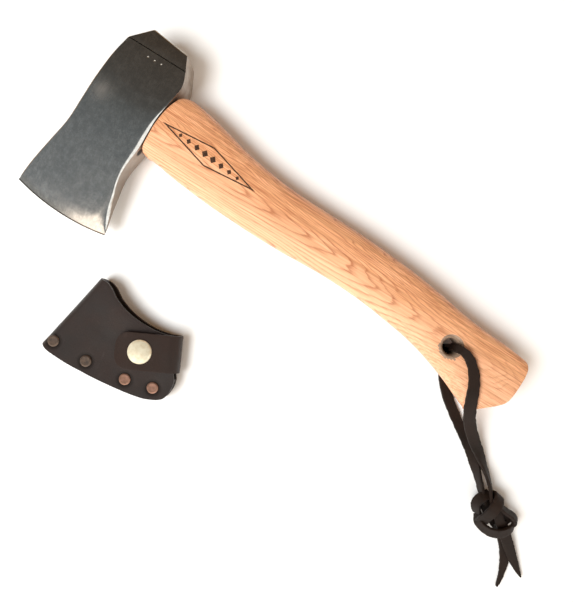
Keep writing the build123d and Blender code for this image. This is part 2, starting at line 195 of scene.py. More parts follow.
# ---- material helpers
class Graph:
    """A small wrapper that adds shader nodes to one material and wires them."""

    def __init__(self, name, world=None):
        self.material = world or bpy.data.materials.new(name)
        self.material.use_nodes = True
        self.tree = self.material.node_tree
        self.shader = self.tree.nodes["Background" if world else "Principled BSDF"]
        self.place = self.add("ShaderNodeTexCoord").outputs["Generated" if world else "Object"]

    def add(self, kind, **settings):
        node = self.tree.nodes.new(kind)
        for key, value in settings.items():
            setattr(node, key, value)
        return node

    def feed(self, socket, value):
        if isinstance(value, bpy.types.NodeSocket):
            self.tree.links.new(value, socket)
        else:
            socket.default_value = value

    def math(self, operation, *values):
        node = self.add("ShaderNodeMath", operation=operation)
        for socket, value in zip(node.inputs, values):
            self.feed(socket, value)
        return node.outputs[0]

    def plus(self, first, second):
        return self.math("ADD", first, second)

    def minus(self, first, second):
        return self.math("SUBTRACT", first, second)

    def times(self, first, second):
        return self.math("MULTIPLY", first, second)

    def over(self, first, second):
        return self.math("DIVIDE", first, second)

    def scaled(self, scale):
        """The piece's own place, counted in steps of scale millimetres along each axis."""
        node = self.add("ShaderNodeVectorMath", operation="MULTIPLY")
        self.feed(node.inputs[0], self.place)
        node.inputs[1].default_value = [1 / (MM * s) for s in scale]
        return node.outputs[0]

    def axes(self, vector=None):
        """The three parts of a vector, or of the piece's own place in millimetres."""
        node = self.add("ShaderNodeSeparateXYZ")
        self.feed(node.inputs[0], vector or self.scaled((1, 1, 1)))
        return node.outputs

    def away(self, point):
        """Distance in millimetres from a point, or in plan from a point that has no height."""
        in_plan = len(point) == 2
        node = self.add("ShaderNodeVectorMath", operation="DISTANCE")
        self.feed(node.inputs[0], self.scaled((1, 1, math.inf if in_plan else 1)))
        node.inputs[1].default_value = (*point, 0) if in_plan else point
        return node.outputs["Value"]

    def noise(self, scale, detail=4, roughness=0.55, distortion=0):
        """Noise whose grains are about scale millimetres along each axis."""
        node = self.add("ShaderNodeTexNoise")
        self.feed(node.inputs["Vector"], self.scaled(scale))
        node.inputs["Scale"].default_value = 1.0
        node.inputs["Detail"].default_value = detail
        node.inputs["Roughness"].default_value = roughness
        node.inputs["Distortion"].default_value = distortion
        return node.outputs["Fac"]

    def cells(self, size, feature="F1"):
        """Cells about size millimetres across."""
        node = self.add("ShaderNodeTexVoronoi", feature=feature)
        self.feed(node.inputs["Vector"], self.scaled((size, size, size)))
        node.inputs["Scale"].default_value = 1.0
        return node.outputs["Distance"]

    def ramp(self, value, stops):
        """Colours by value: stops are (position, (r, g, b) or grey)."""
        node = self.add("ShaderNodeValToRGB")
        self.feed(node.inputs["Fac"], value)
        elements = node.color_ramp.elements
        while len(elements) < len(stops):
            elements.new(0.5)
        for element, (position, colour) in zip(elements, stops):
            element.position = position
            grey = isinstance(colour, (int, float))
            element.color = (colour, colour, colour, 1) if grey else (*colour, 1)
        return node.outputs["Color"]

    def mix(self, share, first, second):
        """The first colour where share is 0, the second where it is 1."""
        node = self.add("ShaderNodeMix", data_type="RGBA")
        self.feed(node.inputs[0], share)
        for socket, colour in ((node.inputs[6], first), (node.inputs[7], second)):
            self.feed(socket, colour if isinstance(colour, bpy.types.NodeSocket) else (*colour, 1))
        return node.outputs[2]

    def bump(self, height, depth):
        """Bump of depth millimetres where height is 1."""
        node = self.add("ShaderNodeBump")
        node.inputs["Strength"].default_value = 1.0
        node.inputs["Distance"].default_value = depth * MM
        self.feed(node.inputs["Height"], height)
        return node.outputs["Normal"]

    def finish(self, **sockets):
        """Feeds the shader's sockets, named in small letters, and returns the material."""
        for key, value in sockets.items():
            name = key.replace("_", " ").title().replace("Ior", "IOR")
            self.feed(self.shader.inputs[name], value)
        return self.material


def tinted(colour, share):
    """The colour made darker or lighter."""
    return tuple(min(1, c * share) for c in colour)


# ---- materials
LINE_Y = 33.5  # joint line between the cheek and the poll
LINE_HALF, LINE_DEPTH = 0.3, 0.45
PATCH_AT = (-16.5, -1.5, 24)  # a patch of the cheek painted brighter than the rest: a painted highlight, also rougher
PATCH_REACH = 11.0
EDGE_RADIUS = 139.0  # the cutting edge is an arc about EDGE_CENTRE
EDGE_CENTRE = (-2, 61)
EDGE_LINE = 0.8  # width of the painted dark reflection along the cutting edge
CORNER_SHADE_AT = (18.8, -20.7, 15.6)  # painted shade in the corner where the shoulder's lower end meets the head
CORNER_SHADE_REACH = 3.2


def steel_material():
    """Satin forged steel: cloudy tone, faint strokes across the cheek, light scratches."""
    g = Graph("forged_steel")
    clouds = g.noise((11, 8, 11), detail=6, roughness=0.6)
    mottle = g.noise((3.2, 4.4, 3.2), detail=8, roughness=0.8)
    fine = g.noise((0.7, 0.7, 0.7), detail=3)
    strokes = g.noise((0.5, 9, 9), detail=3)
    slanted = g.noise((5, 0.16, 5), detail=1, distortion=0.6)
    tone = g.ramp(clouds, [(0.3, (0.50, 0.515, 0.515)), (0.5, (0.55, 0.56, 0.555)),
                           (0.72, (0.60, 0.61, 0.605))])
    tone = g.mix(g.ramp(mottle, [(0.40, 0.55), (0.52, 0)]), tone, (0.42, 0.44, 0.445))
    tone = g.mix(g.ramp(mottle, [(0.50, 0), (0.62, 0.5)]), tone, (0.74, 0.77, 0.775))
    # painted highlight: a bright patch painted on the cheek for a reflection, also made rougher
    painted_highlight_patch = g.ramp(g.over(g.away(PATCH_AT), PATCH_REACH), [(0.1, 1), (0.5, 0.45), (1, 0)])
    tone = g.mix(g.times(painted_highlight_patch, 0.7), tone, (0.90, 0.92, 0.92))
    tone = g.mix(g.ramp(strokes, [(0.35, 0.25), (0.6, 0)]), tone, (0.40, 0.41, 0.41))
    scratch = g.ramp(slanted, [(0.70, 0), (0.76, 0.5)])
    tone = g.mix(scratch, tone, (0.80, 0.81, 0.81))
    # painted shade: the groove along the joint line painted near-black for the shade inside it
    line = g.math("ABSOLUTE", g.minus(g.axes()[1], LINE_Y))
    tone = g.mix(g.math("LESS_THAN", line, LINE_HALF * 0.9), tone, (0.012, 0.010, 0.008))
    # painted reflection: a thin dark line painted along the cutting edge
    from_edge = g.minus(EDGE_RADIUS, g.away(EDGE_CENTRE))
    tone = g.mix(g.math("LESS_THAN", from_edge, EDGE_LINE), tone, (0.10, 0.085, 0.07))
    rough = g.plus(g.times(clouds, 0.06), 0.17)
    rough = g.plus(rough, g.times(painted_highlight_patch, 0.16))
    height = g.plus(g.times(strokes, 0.5), g.times(fine, 0.5))
    return g.finish(base_color=tone, metallic=1, roughness=rough, normal=g.bump(height, 0.005))


def side_material():
    """The head's narrow sides: rougher and browner than the cheeks, with painted shade towards the cutting
    edge and in the corner by the handle's shoulder.
    """
    g = Graph("forged_steel_side")
    stains = g.noise((5, 5, 5), detail=5)
    tone = g.ramp(stains, [(0.35, (0.42, 0.36, 0.31)), (0.65, (0.56, 0.51, 0.46))])
    # painted shade: the sides darker towards the cutting edge and lighter at the poll
    edge_shade = g.ramp(g.plus(g.over(g.axes()[1], 100), 0.8), [(0.1, 1), (1, 0)])
    tone = g.mix(edge_shade, tone, (0.24, 0.19, 0.15))
    # painted shade: near-black in the corner between the handle's shoulder and the head
    corner_shade = g.ramp(g.over(g.away(CORNER_SHADE_AT), CORNER_SHADE_REACH), [(0.6, 1), (1, 0)])
    tone = g.mix(corner_shade, tone, (0.012, 0.009, 0.007))
    return g.finish(base_color=tone, metallic=1, roughness=0.42)


SWIRL_AT = (282.9, -22.4)  # a small knot in the wood, near the butt
SWIRL_REACH = 5.5


def wood_rings(g):
    """Growth rings cut flat: long narrow loops that point to the butt, straight lines beside them."""
    x, y, z = g.axes()
    drift = g.noise((60, 9, 9), detail=2)
    wobble = g.noise((24, 2.4, 2.4), detail=3)
    side = g.plus(y, g.plus(g.times(x, 0.058), 3.6))
    side = g.plus(side, g.times(g.minus(drift, 0.5), 5))
    side = g.times(side, 2.5)
    depth = g.plus(g.times(x, 0.10), g.plus(z, 2))
    radius = g.math("SQRT", g.plus(g.times(side, side), g.times(depth, depth)))
    radius = g.plus(radius, g.times(g.minus(drift, 0.5), 4))
    knot_x = g.over(g.minus(x, SWIRL_AT[0]), 1.5)
    knot_y = g.minus(y, SWIRL_AT[1])
    away = g.plus(g.times(knot_x, knot_x), g.times(knot_y, knot_y))
    swirl = g.math("EXPONENT", g.over(away, -SWIRL_REACH * SWIRL_REACH))
    radius = g.plus(radius, g.times(swirl, 4.5))
    return g.plus(radius, g.times(g.minus(wobble, 0.5), 1.1))


def wood_material(name, light, mid, dark, burn=None):
    """Oiled ash: rings, fibres and pores over a pale band that runs to the belly side."""
    g = Graph(name)
    x, y, _ = g.axes()
    radius = wood_rings(g)
    phase = g.math("FRACT", g.over(radius, 1.8))
    ring = g.ramp(phase, [(0, 0.1), (0.05, 0.05), (0.16, 0.6), (0.36, 1), (0.92, 1), (1, 0.1)])
    fibre = g.noise((34, 0.55, 0.55), detail=4, roughness=0.6)
    pores = g.noise((5.5, 0.22, 0.22), detail=1)
    broad = g.noise((70, 7, 7), detail=2)
    belly = g.plus(y, g.plus(g.times(x, 0.05), 2))
    pale = g.ramp(g.plus(g.over(belly, -26), g.times(broad, 0.9)),
                  [(0.34, 0), (0.57, 0.55), (0.97, 1)])
    colour = g.mix(pale, mid, light)
    butt = g.ramp(g.over(x, 300), [(0.68, 0), (0.84, 1)])
    strength = g.ramp(g.noise((45, 6, 6), detail=2), [(0.3, 0.5), (0.65, 1)])
    strength = g.times(strength, g.minus(1, g.times(butt, 0.62)))
    lines = g.times(g.minus(1, ring), strength)
    lines = g.times(lines, g.ramp(pale, [(0.2, 1), (0.9, 0.6)]))
    streak = g.noise((50, 2, 2), detail=4, roughness=0.6)
    colour = g.mix(g.ramp(streak, [(0.38, 0.8), (0.54, 0)]), colour, tinted(mid, 0.78))
    colour = g.mix(g.ramp(streak, [(0.52, 0), (0.66, 0.6)]), colour, tinted(light, 1.2))
    colour = g.mix(g.ramp(fibre, [(0.36, 0.7), (0.52, 0)]), colour, dark)
    colour = g.mix(g.ramp(fibre, [(0.52, 0), (0.68, 0.5)]), colour, light)
    cream = g.times(g.times(ring, pale), g.minus(0.5, g.times(butt, 0.3)))
    colour = g.mix(cream, colour, tinted(light, 1.16))
    colour = g.mix(lines, colour, dark)
    pore = g.ramp(pores, [(0.58, 0), (0.68, 1)])
    pore = g.times(pore, g.ramp(phase, [(0, 0.9), (0.3, 0.4), (0.6, 0.1), (1, 0.6)]))
    colour = g.mix(g.times(pore, 0.6), colour, tinted(dark, 0.5))
    height = g.minus(g.times(fibre, 0.4), pore)
    if burn:
        mark = burn(g)
        colour = g.mix(mark, colour, (0.030, 0.016, 0.010))
        height = g.minus(height, g.times(mark, 2.5))
    return g.finish(base_color=colour, roughness=0.45, normal=g.bump(height, 0.03),
                    coat_weight=0.18, coat_roughness=0.3)


def burned_band(g):
    """A plain burned ornament: a long lozenge outline with a row of small diamonds."""
    x, y, z = g.axes()
    along = g.minus(x, 58)
    up = g.plus(g.plus(y, 1.6), g.times(along, 0.09))
    reach = g.math("ABSOLUTE", along)
    height = g.math("ABSOLUTE", up)
    lozenge = g.plus(g.times(reach, 0.19), height)
    outline = g.math("LESS_THAN", g.math("ABSOLUTE", g.minus(lozenge, 6.1)), 0.42)
    step = g.math("ABSOLUTE", g.minus(g.math("FRACT", g.over(along, 6)), 0.5))
    diamond = g.plus(g.times(step, 6), g.times(height, 0.9))
    size = g.minus(2.3, g.times(reach, 0.05))
    diamonds = g.times(g.math("LESS_THAN", diamond, size), g.math("LESS_THAN", reach, 24))
    both = g.math("MAXIMUM", outline, diamonds)
    patchy = g.ramp(g.noise((0.8, 0.3, 0.3), detail=2), [(0.3, 0.75), (0.5, 1)])
    return g.times(g.times(both, patchy), g.math("GREATER_THAN", z, 12))


def leather_material(name, base, warm, grain=0.7, depth=0.05, roughness=0.5, shade_rings=()):
    """Oiled leather; the last argument holds plan points that get a ring of painted shade about them, as in
    the recess at the rivets.
    """
    g = Graph(name)
    clouds = g.noise((16, 16, 16), detail=4)
    pebble = g.cells(grain)
    fine = g.noise((0.5, 0.5, 0.5), detail=5)
    crease = g.cells(grain * 5, feature="DISTANCE_TO_EDGE")
    colour = g.mix(g.ramp(clouds, [(0.35, 0), (0.65, 1)]), base, warm)
    colour = g.mix(g.ramp(fine, [(0.3, 0.5), (0.6, 0)]), colour, tinted(base, 0.55))
    scuffs = g.noise((3, 7, 3), detail=5, roughness=0.7)
    colour = g.mix(g.ramp(scuffs, [(0.60, 0), (0.80, 0.35)]), colour, tinted(base, 2.4))
    for place in shade_rings:
        reach = g.over(g.away(place), RIVET_SHADE_REACH)
        # painted shade: a dark ring in the recess around each rivet
        ring = g.ramp(reach, [(0.62, 0.85), (0.80, 0.55), (1, 0)])
        colour = g.mix(ring, colour, (0.006, 0.004, 0.003))
    height = g.plus(g.times(pebble, -0.6), g.times(fine, 0.7))
    height = g.plus(height, g.ramp(crease, [(0, 0), (0.06, 0.35)]))
    rough = g.plus(g.times(clouds, 0.2), roughness - 0.1)
    return g.finish(base_color=colour, roughness=rough, normal=g.bump(height, depth),
                    specular_ior_level=0.35)


def copper_material(name, tint, dull):
    """Stained soft metal, from its own tint to a duller one."""
    g = Graph(name)
    stains = g.noise((2.2, 2.2, 2.2), detail=5)
    fine = g.noise((0.35, 0.35, 0.35), detail=3)
    colour = g.mix(g.ramp(stains, [(0.35, 0), (0.7, 1)]), tint, dull)
    rough = g.plus(g.times(stains, 0.3), 0.3)
    return g.finish(base_color=colour, metallic=0.75, roughness=rough, normal=g.bump(fine, 0.02))


def snap_material():
    """The pale, slightly mottled plating of the snap."""
    g = Graph("snap_metal")
    mottle = g.noise((3.2, 3.2, 3.2), detail=5)
    colour = g.mix(g.ramp(mottle, [(0.38, 0), (0.7, 1)]), (0.80, 0.745, 0.575), (0.66, 0.57, 0.39))
    rough = g.plus(g.times(mottle, 0.2), 0.22)
    return g.finish(base_color=colour, metallic=0.35, roughness=rough, normal=g.bump(mottle, 0.02))


RIVETS = [tuple(cad_centre(f"rivet_{n}")[:2]) for n in (1, 2, 3, 4)]
SNAP_AT = tuple(cad_centre("snap_cap")[:2])
RIVET_SHADE_REACH = 6.0

STEEL = steel_material()
STEEL_SIDE = side_material()
WOOD = wood_material("ash_wood", (0.84, 0.45, 0.26), (0.78, 0.39, 0.19), (0.40, 0.13, 0.055), burned_band)
# painted shade: darker wood for the tenon's end and the rim at the shoulder
WOOD_SHOULDER_SHADE = wood_material("ash_wood_shoulder_shade", (0.24, 0.13, 0.07), (0.17, 0.08, 0.04), (0.08, 0.035, 0.02))
# painted shade and wear: darker wood for the hole's wall and its countersinks
WOOD_HOLE_WEAR_AND_SHADE = wood_material("ash_wood_hole_wear_and_shade", (0.34, 0.24, 0.17), (0.28, 0.19, 0.13), (0.14, 0.08, 0.05))
WEDGE_WOOD = wood_material("wedge_wood", (0.62, 0.44, 0.27), (0.50, 0.32, 0.17), (0.32, 0.18, 0.08))
THONG = leather_material("thong_leather", (0.010, 0.006, 0.0045), (0.018, 0.0095, 0.0065), 0.5, 0.06, 0.7)
LEATHER = leather_material("cover_leather", (0.025, 0.0205, 0.0195), (0.029, 0.0195, 0.0175), shade_rings=RIVETS)
STRAP_LEATHER = leather_material("strap_leather", (0.025, 0.017, 0.0145), (0.026, 0.0145, 0.0115),
                                 roughness=0.55)
COPPER_BRIGHT = copper_material("copper_bright", (0.44, 0.25, 0.19), (0.28, 0.17, 0.12))
COPPER_DARK = copper_material("copper_dark", (0.105, 0.085, 0.075), (0.20, 0.145, 0.11))
SNAP = snap_material()
WEDGE_STEEL = copper_material("wedge_steel", (0.22, 0.21, 0.20), (0.12, 0.09, 0.07))


# ---- head
MID_Z = 12.0  # height of the hatchet's middle plane
EDGE_LOW_Y = -77.8  # the cutting edge's lowest point
POLL_LEFT, POLL_RIGHT = np.array((-9, 45.5)), np.array((15.5, 42.5))
POLL_SLOPE = 0.035  # the cheeks draw in this much for each millimetre of poll
LEFT_ROUND = 0.6  # radius of the corner along the top side
BEVEL_SLOPE = 0.62  # depth of the bevel for its width
BEVEL_SHARE = 0.56  # widest bevel for half the thickness there
HEEL_ROLL = 90.0  # reach of the heel corner's soft roll, mm squared
HEEL_DROP = 1.6
HEEL_SHARE = 0.35  # most of half the thickness that the roll takes away
top_side = smooth_through([(-80, -38.2), (-73.1, -36.6), (-58, -33.6), (-42, -29.7), (-28, -26.3),
                           (-12, -25), (5, -24.2), (20, -22.8), (LINE_Y, -20)])
eye_side = smooth_through([(-80, 27.2), (-74, 26.2), (-66.9, 24.4), (-59.7, 22.4), (-51.8, 20.3),
                           (-46, 18.7), (-40, 17.7), (-35, 17.5), (-28, 18.1), (-20, 19.1), (-10, 19.3),
                           (0, 19.5), (10, 20.9), (18, 22.3), (24, 23), (27.5, 22.4), (LINE_Y, 20)])
bevel_width = smooth_through([(-80, 1.6), (-60, 1.6), (-50, 1.3), (-38, 1.2), (-28, 1.7), (-18, 2.3),
                              (-8, 2.1), (-2, 1.5), (4, 0.8), (10, 0.4), (60, 0.3)])
half_thickness = smooth_through([(0, 0.15), (4, 2), (8, 3), (14, 4.1), (20, 5.05), (27, 6.1),
                                 (37, 7.6), (45, 8.75), (52, 9.65), (60, 10.6), (68, 11.4),
                                 (76, 11.85), (86, 12), (150, 12)])


def cheek_half(x, y, to_left, to_right):
    """Half of the head's thickness at (x, y), with its rounded and bevelled corners."""
    inward = np.maximum(EDGE_RADIUS - np.hypot(x - EDGE_CENTRE[0], y - EDGE_CENTRE[1]), 0)
    half = half_thickness(inward) - POLL_SLOPE * np.maximum(y - LINE_Y, 0)
    corner = np.minimum(LEFT_ROUND, half * 0.8)
    short = np.clip(corner - to_left, 0, corner)
    half = half - (corner - np.sqrt(np.maximum(corner ** 2 - short ** 2, 0)))
    bevel = np.minimum(bevel_width(y), np.maximum(half, 0.02) * BEVEL_SHARE)
    part = np.clip(1 - to_right / bevel, 0, 1)
    half = half - bevel * BEVEL_SLOPE * part * (0.45 + 0.55 * part)
    heel = np.clip(1 - inward * to_right / HEEL_ROLL, 0, 1) ** 2 * ease(28, 12, inward)
    return np.minimum(half - heel * np.minimum(HEEL_DROP, half * HEEL_SHARE), MID_Z)


def head_rows():
    """Plan positions of the cheek's grid, from the edge to the poll, and each row's groove depth."""
    across = np.concatenate([[0, 0.004, 0.01, 0.018, 0.03], np.linspace(0.045, 0.90, 62),
                             [0.91, 0.92, 0.93, 0.94, 0.95, 0.96, 0.97, 0.98, 0.99, 1]])
    line_s = LINE_Y - EDGE_LOW_Y
    fine = [0, 0.3, 0.7, 1.2, 1.8, 2.5, 3.3, 4.2, 5.2, 6.3, 7.5, 8.8]
    steps = [(s, 0) for s in (*fine, *np.arange(10, line_s - 1, 1.1), line_s - LINE_HALF)]
    steps += [(line_s - LINE_HALF * 0.75, LINE_DEPTH), (line_s, LINE_DEPTH)]
    rows = []
    for s, groove in steps:
        flat = ease(0, 60, s)
        x = np.zeros_like(across)
        for _ in range(5):
            arc = EDGE_CENTRE[1] - np.sqrt(EDGE_RADIUS ** 2 - (x - EDGE_CENTRE[0]) ** 2)
            y = s + arc * (1 - flat) + EDGE_LOW_Y * flat
            x = top_side(y) + (eye_side(y) - top_side(y)) * across
        rows.append((x, y, groove))
    left, right = np.array((-20, LINE_Y)), np.array((20, LINE_Y))
    poll = [(0.018, LINE_DEPTH), *((t, 0) for t in (0.025, 0.08, 0.2, 0.35, 0.5, 0.65, 0.8, 0.93)),
            (0.965, 0.12), (0.985, 0.3), (1, 0.6)]
    for t, groove in poll:
        a, b = left + (POLL_LEFT - left) * t, right + (POLL_RIGHT - right) * t
        rows.append((a[0] + (b[0] - a[0]) * across, a[1] + (b[1] - a[1]) * across, groove))
    return rows


SIDE_STEEP = 0.35  # faces whose normal rises less than this are the head's sides


def build_head():
    """The forged head: both cheeks and the sides between them, with the eye and three dimples cut out."""
    rings = []
    for x, y, groove in head_rows():
        half = cheek_half(x, y, x - x[0], x[-1] - x) - groove
        upper = np.stack([x, y, MID_Z + half], axis=1)
        lower = np.stack([x, y, MID_Z - half], axis=1)[::-1]
        walls = [0.75, 0.4, 0, -0.4, -0.75]
        right = [(x[-1], y[-1], MID_Z + half[-1] * w) for w in walls]
        left = [(x[0], y[0], MID_Z - half[0] * w) for w in walls]
        rings.append(np.concatenate([upper, right, lower, left]))
    head = make_object("axe_head_forged", np.concatenate(rings), tube_faces(len(rings), len(rings[0])),
                       "hatchet", "forged_steel", STEEL)
    cut(head, [eye_cutter(), *dimple_cutters()])
    head.data.materials.append(STEEL_SIDE)
    for face in head.data.polygons:
        face.material_index = int(abs(face.normal.z) < SIDE_STEEP)
    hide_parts("axe_head")
    shade_by_angle(head, 32)


EYE_HALF = (18, 8.5)  # half of the eye's height and width at the handle side
EYE_FROM, EYE_TO = -34.0, 30.0  # reach of the solid that cuts the eye, flaring by 1 mm in 60


def eye_cutter():
    """The flared oval eye that runs through the head."""
    turn = np.arange(72) * 2 * math.pi / 72
    rings = []
    for x in (EYE_FROM, EYE_TO):
        tall, wide = (half + (EYE_TO - x) / 60 for half in EYE_HALF)
        rings.append(np.column_stack([np.full(72, x), tall * np.cos(turn), MID_Z + wide * np.sin(turn)]))
    return make_object("eye_cutter", np.concatenate(rings), tube_faces(2, 72))


DIMPLES = ((-3.5, 29.2), (1, 29.3), (5.5, 29.5))
DIMPLE_PROFILE = [(0, 23.55), (0.35, 23.65), (0.62, 23.9), (0.72, 24.2), (0.72, 25), (0, 25)]


def dimple_cutters():
    """Three small dents in the upper cheek."""
    return [lathe("dimple_cutter", DIMPLE_PROFILE, at, 20) for at in DIMPLES]


# ---- handle
back_edge = smooth_through([(22, 20.4), (31, 23), (40, 22.1), (50, 20.2), (60, 17.9), (70, 15.4),
                            (80, 13.3), (90, 11.8), (105, 10.1), (120, 9.3), (140, 9), (160, 8.8),
                            (180, 7.8), (200, 6.2), (220, 3.7), (240, 0.5), (255, -1.1), (270, -1.9),
                            (285, -3.5)])
belly_edge = smooth_through([(20, -20.2), (31, -21), (40, -22.5), (50, -23.6), (70, -25.3),
                             (90, -26.1), (120, -26.3), (150, -25), (165, -25), (180, -25.7),
                             (200, -27.9), (220, -31), (240, -36.5), (250, -40), (260, -44.2),
                             (271, -48.6)])
BUTT_HALF = 9.4  # half of the handle's thickness from X 180 to the butt
handle_half = smooth_through([(20, 11), (45, 10.8), (90, 10), (130, 9.6), (180, BUTT_HALF),
                              (300, BUTT_HALF)])
SHOULDER_LINE = [(27.2, 21.9), (25.2, 20.9), (23.7, 18.9), (22.6, 15.6), (21, 9.3), (20, 2.5),
                 (19.6, -3), (19.8, -9), (19.8, -14.5), (20.1, -17.6), (21.4, -19.8), (24.2, -21)]
BUTT_LINE = [(284.4, -3.4), (286.9, -4.8), (288.4, -7.4), (288.9, -11), (288.9, -17.5),
             (288.5, -25), (287.9, -30), (286.2, -33.4), (283.2, -36.7), (278.4, -41.2),
             (271, -48.6)]
SECTION_START, SECTION_END = 48.0, 232.0  # between them the rings stand straight across the handle
SECTION_POWER = 2.7  # 2 is an oval section, more is squarer
SECTION_STEPS = 96  # points round each ring
TENON_X = (-24.1, 5, 20.4)
TENON_PROUD = 0.4  # depth of the tenon's end below the head's top side
BUTT_RIM, SHOULDER_RIM = 1.6, 1.0  # radius of the rounded edge at each end
SHOULDER_SHADE_WIDTH = 0.6  # width of the rim beside the head that is painted in shade
shoulder_x = smooth_through([(y, x) for x, y in SHOULDER_LINE[::-1]])


def even_points(points, shares):
    """Points along a polyline at the given shares of its length, smoothed."""
    points = np.array(points, float)
    reach = np.concatenate([[0], np.cumsum(np.linalg.norm(np.diff(points, axis=0), axis=1))])
    reach /= reach[-1]
    return np.stack([smooth_through(list(zip(reach, points[:, i])))(shares) for i in (0, 1)], axis=1)


def end_patch(end_line, section_x, share, low_to_high):
    """Plan points of one cross line between a straight section and a shaped end."""
    down = (1 - low_to_high) / 2
    far = even_points(end_line, down)
    near_top, near_low = back_edge(section_x), belly_edge(section_x)
    corner_shade = np.stack([np.full_like(down, section_x), near_top + (near_low - near_top) * down], axis=1)
    top_x = section_x + (end_line[0][0] - section_x) * share
    low_x = section_x + (end_line[-1][0] - section_x) * share
    top = np.array([top_x, back_edge(top_x) if share < 1 else end_line[0][1]])
    low = np.array([low_x, belly_edge(low_x) if share < 1 else end_line[-1][1]])
    sides = top + (low - top) * down[:, None]
    first, last = corner_shade[down.argmin()], corner_shade[down.argmax()]
    corners = (1 - share) * (first + (last - first) * down[:, None])
    first, last = np.array(end_line[0]), np.array(end_line[-1])
    corners += share * (first + (last - first) * down[:, None])
    return (1 - share) * corner_shade + share * far + sides - corners


def handle_ring(plan, height, turn, inset=0):
    """One closed ring: plan holds the cross line's points for each turn angle."""
    rise = np.sign(np.sin(turn)) * np.abs(np.sin(turn)) ** (2 / SECTION_POWER)
    z = MID_Z + rise * (height - inset)
    middle = plan.mean(axis=0)
    spread = np.linalg.norm(plan - middle, axis=1).max()
    plan = middle + (plan - middle) * (1 - inset / spread)
    return np.column_stack([plan, z])


def handle_rings():
    """Rings of the handle: tenon, rounded shoulder, grip, and the cut and rounded butt."""
    turn = (np.arange(SECTION_STEPS) + 0.5) * 2 * math.pi / SECTION_STEPS
    low_to_high = np.sign(np.cos(turn)) * np.abs(np.cos(turn)) ** (2 / SECTION_POWER)
    rings = [np.column_stack([np.full(SECTION_STEPS, x), EYE_HALF[0] * np.cos(turn),
                              MID_Z + EYE_HALF[1] * np.sin(turn)]) for x in TENON_X]
    rings[0][:, 0] = top_side(rings[0][:, 1]) + TENON_PROUD
    first = end_patch(SHOULDER_LINE, SECTION_START, 1, low_to_high)
    for lean in np.radians((0, 22.5, 45, 67.5)):
        ring = handle_ring(first, handle_half(22), turn, SHOULDER_RIM * (1 - math.sin(lean)))
        ring[:, 0] += SHOULDER_RIM * (1 - math.cos(lean))
        rings.append(ring)
    for share in np.linspace(1, 0, 26)[1:]:
        plan = end_patch(SHOULDER_LINE, SECTION_START, share * 0.93, low_to_high)
        rings.append(handle_ring(plan, handle_half(plan[:, 0]), turn))
    for x in np.arange(SECTION_START + 2, SECTION_END, 2):
        top, low = back_edge(x), belly_edge(x)
        plan = np.column_stack([np.full(SECTION_STEPS, x), (top + low) / 2 + (top - low) / 2 * low_to_high])
        rings.append(handle_ring(plan, handle_half(x), turn))
    for share in np.linspace(0, 0.97, 34):
        plan = end_patch(BUTT_LINE, SECTION_END, share, low_to_high)
        rings.append(handle_ring(plan, handle_half(plan[:, 0]), turn))
    last = end_patch(BUTT_LINE, SECTION_END, 1, low_to_high)
    for lean in np.radians((0, 18, 36, 54, 72, 90)):
        ring = handle_ring(last, BUTT_HALF, turn, BUTT_RIM * (1 - math.cos(lean)))
        ring[:, 0] -= BUTT_RIM * (1 - math.sin(lean)) * 0.8
        rings.append(ring)
    return rings


def build_handle():
    """The ash handle, with painted shade on its tenon and at its shoulder, and painted shade and wear in its
    hole.
    """
    rings = handle_rings()
    handle = make_object("handle_ash", np.concatenate(rings), tube_faces(len(rings), SECTION_STEPS),
                         "hatchet", "ash_wood", WOOD)
    cut(handle, [hole_cutter()])
    handle.data.materials.append(WOOD_SHOULDER_SHADE)
    handle.data.materials.append(WOOD_HOLE_WEAR_AND_SHADE)
    for face in handle.data.polygons:
        x, y = face.center.x / MM, face.center.y / MM
        in_hole = (math.hypot(x - HOLE_AT[0], y - HOLE_AT[1]) < HOLE_R + HOLE_SINK + 0.8
                   and abs(face.center.z / MM - MID_Z) < HOLE_WALL)
        # painted shade: slot 1 on the tenon and the shoulder rim, slot 2 in the hole and its countersinks,
        # where it stands also for wear
        face.material_index = 2 if in_hole else int(x < shoulder_x(y) + SHOULDER_SHADE_WIDTH)
    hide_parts("handle")
    shade_by_angle(handle, 38)


HOLE_AT = (240.9, -20.7)
HOLE_R = 5.0
HOLE_SINK = 2.0  # depth and width of the countersink
HOLE_WALL = 9.2  # faces of the hole lie within this height of the middle


def hole_cutter():
    """Drilled hole with a soft countersink at each face."""
    upper = [(HOLE_R, BUTT_HALF - HOLE_SINK - 0.5), (HOLE_R + 0.5 * HOLE_SINK, BUTT_HALF - 0.8),
             (HOLE_R + HOLE_SINK + 0.9, BUTT_HALF + 0.2), (HOLE_R + HOLE_SINK + 1, BUTT_HALF + 3),
             (0, BUTT_HALF + 3)]
    lower = [(radius, MID_Z - rise) for radius, rise in upper[::-1]]
    return lathe("hole_cutter", lower + [(radius, MID_Z + rise) for radius, rise in upper], HOLE_AT, 64)


# ---- ribbons
def spline_points(route, resolution=14):
    """Points along the smooth line whose control points are the route."""
    curve = bpy.data.curves.new("route", "CURVE")
    curve.dimensions = "3D"
    spline = curve.splines.new("NURBS")
    spline.points.add(len(route) - 1)
    for point, place in zip(spline.points, route):
        point.co = (*[c * MM for c in place], 1)
    spline.order_u = 3
    spline.use_endpoint_u = True
    spline.resolution_u = resolution
    obj = bpy.data.objects.new("route", curve)
    bpy.context.scene.collection.objects.link(obj)
    bpy.context.view_layer.update()
    mesh = bpy.data.meshes.new_from_object(obj.evaluated_get(bpy.context.evaluated_depsgraph_get()))
    points = np.array([v.co for v in mesh.vertices]) / MM
    bpy.data.objects.remove(obj)
    return points


FRAY = 0.24  # unevenness of the thong's cut edges
THONG_SECTION = [(-1, 0.55), (-0.9, 1), (-0.45, 1), (0, 1), (0.45, 1), (0.9, 1), (1, 0.55)]
THONG_SECTION += [(-a, -b) for a, b in THONG_SECTION]


